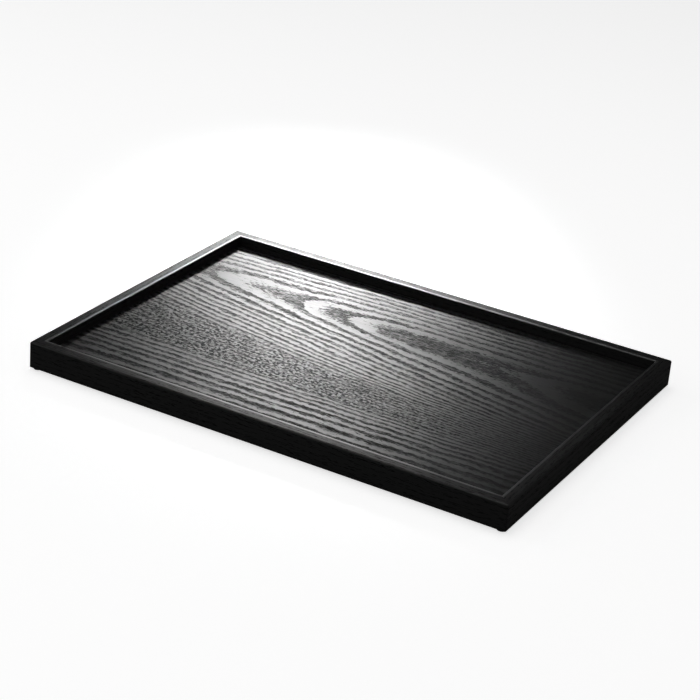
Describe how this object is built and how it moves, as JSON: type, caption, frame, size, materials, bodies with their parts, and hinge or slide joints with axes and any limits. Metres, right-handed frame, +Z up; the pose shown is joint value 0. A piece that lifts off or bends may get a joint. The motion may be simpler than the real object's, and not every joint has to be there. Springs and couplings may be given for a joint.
{
  "type": "wooden tea tray",
  "caption": "Rectangular low-rimmed serving tray in black-stained open-pore ash: mitred, grooved rails round a recessed veneered panel, on anti-slip pads.",
  "frame": {"origin": "middle of the footprint, on the surface that the pads stand on", "axes": "+X along the length to the right as seen from the front, +Y to the back, +Z up"},
  "size_m": [0.42, 0.3, 0.0236],
  "materials": {
    "rail": "black-stained open-pore ash under satin lacquer",
    "veneer": "black-stained crown-cut ash veneer under satin lacquer",
    "ply": "raw birch ply",
    "spline": "raw hardwood strip",
    "pad": "matt anti-slip pad"
  },
  "bodies": {
    "root": {"front_rail": "rail", "right_rail": "rail", "back_rail": "rail", "left_rail": "rail", "face_veneer": "veneer", "upper_crossband": "ply", "core_ply": "ply", "lower_crossband": "ply", "backing_veneer": "veneer", "front_left_spline": "spline", "front_right_spline": "spline", "back_right_spline": "spline", "back_left_spline": "spline", "front_left_pad": "pad", "front_right_pad": "pad", "back_right_pad": "pad", "back_left_pad": "pad"}
  },
  "joints": []
}
